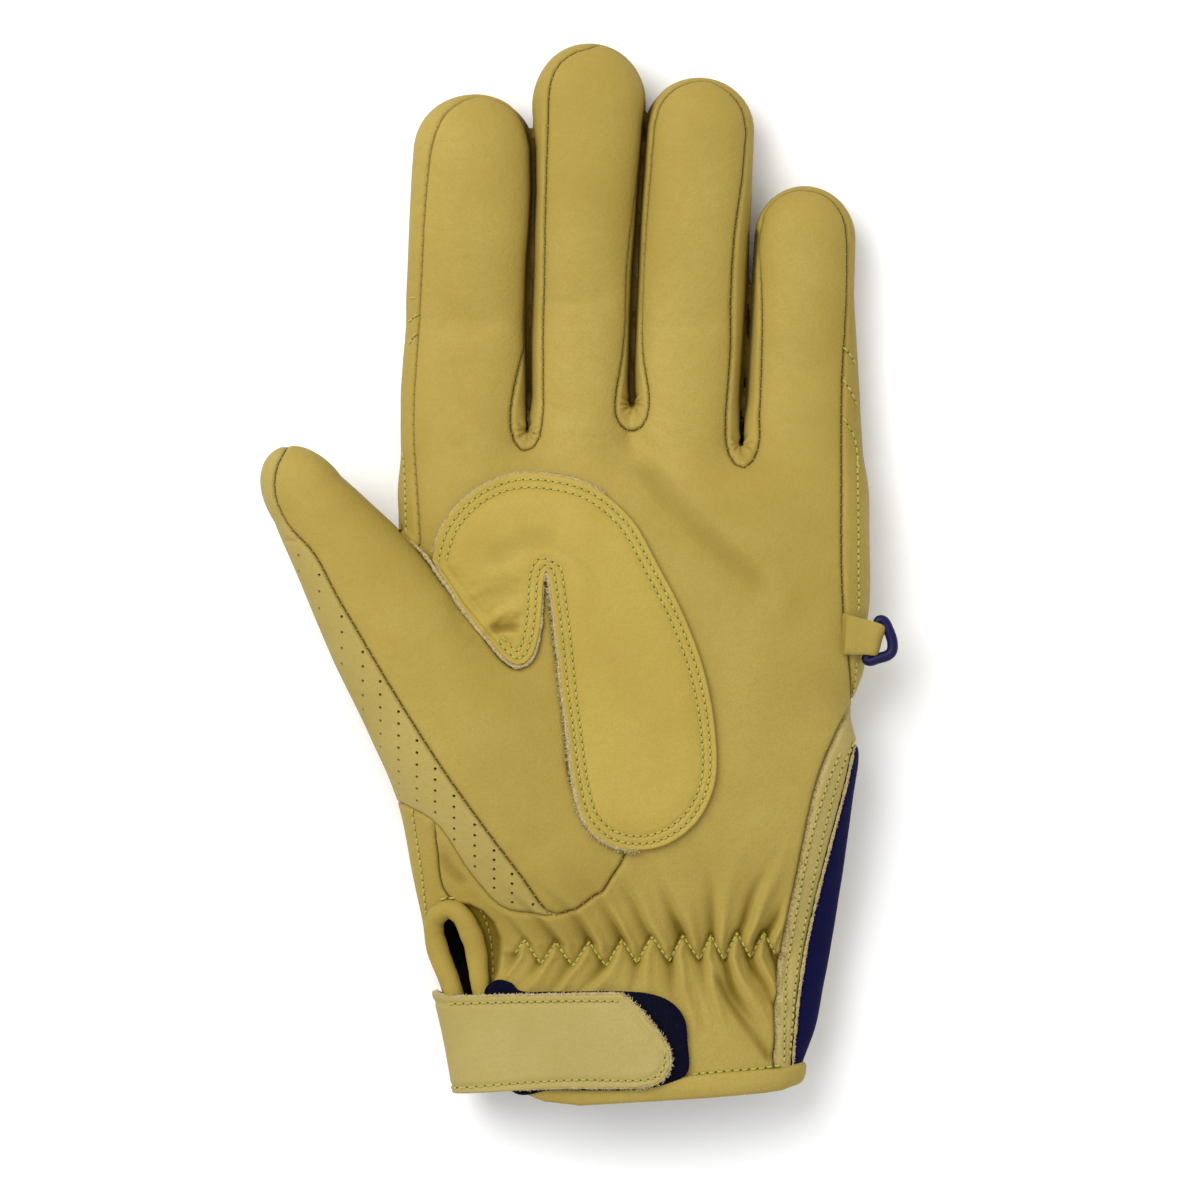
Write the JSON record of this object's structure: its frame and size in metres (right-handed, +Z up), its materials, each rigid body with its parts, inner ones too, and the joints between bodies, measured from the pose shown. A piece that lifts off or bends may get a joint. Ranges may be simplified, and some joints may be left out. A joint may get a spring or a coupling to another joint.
{
  "type": "motorcycle glove",
  "caption": "Short-cuffed leather motorcycle glove for the left hand, with palm patch, wrist strap, stretch insert and a small D-ring.",
  "frame": {"origin": "on the resting surface, below the middle of the glove's bounding box", "axes": "+Y from the cuff to the fingertips, +X towards the little finger's side, +Z up, out of the palm"},
  "size_m": [0.1476, 0.2436, 0.034],
  "materials": {
    "palm_leather": "smooth satin tan-yellow leather",
    "back_leather": "smooth satin tan-yellow leather",
    "perforated_leather": "perforated pale tan leather",
    "patch_leather": "satin tan-yellow leather with raw suede edges",
    "strap_leather": "matt tan leather with raw suede edges",
    "binding_leather": "turned tan-yellow leather",
    "stretch_fabric": "fine navy stretch knit",
    "loop_fabric": "dark navy loop pile",
    "ring_plastic": "dark navy coated ring"
  },
  "bodies": {
    "glove": {"palm_panel": "palm_leather", "back_panel": "back_leather", "fourchette_index_middle": "palm_leather", "fourchette_middle_ring": "palm_leather", "fourchette_ring_little": "palm_leather", "thumb_front": "palm_leather", "thumb_back": "perforated_leather", "palm_patch": "patch_leather", "side_placket": "patch_leather", "stretch_gusset": "stretch_fabric", "vent_binding": "binding_leather", "wrist_strap": "strap_leather", "loop_patch": "loop_fabric", "cuff_hem": "binding_leather", "ring_tab": "patch_leather"},
    "ring": {"side_ring": "ring_plastic"}
  },
  "joints": [
    {"name": "ring_swing", "type": "hinge", "parent": "glove", "child": "ring", "pos_m": [0.067, -0.015, 0.0222], "axis": [0.2957, 0.9553, 0], "range_deg": [-90, 80]}
  ]
}
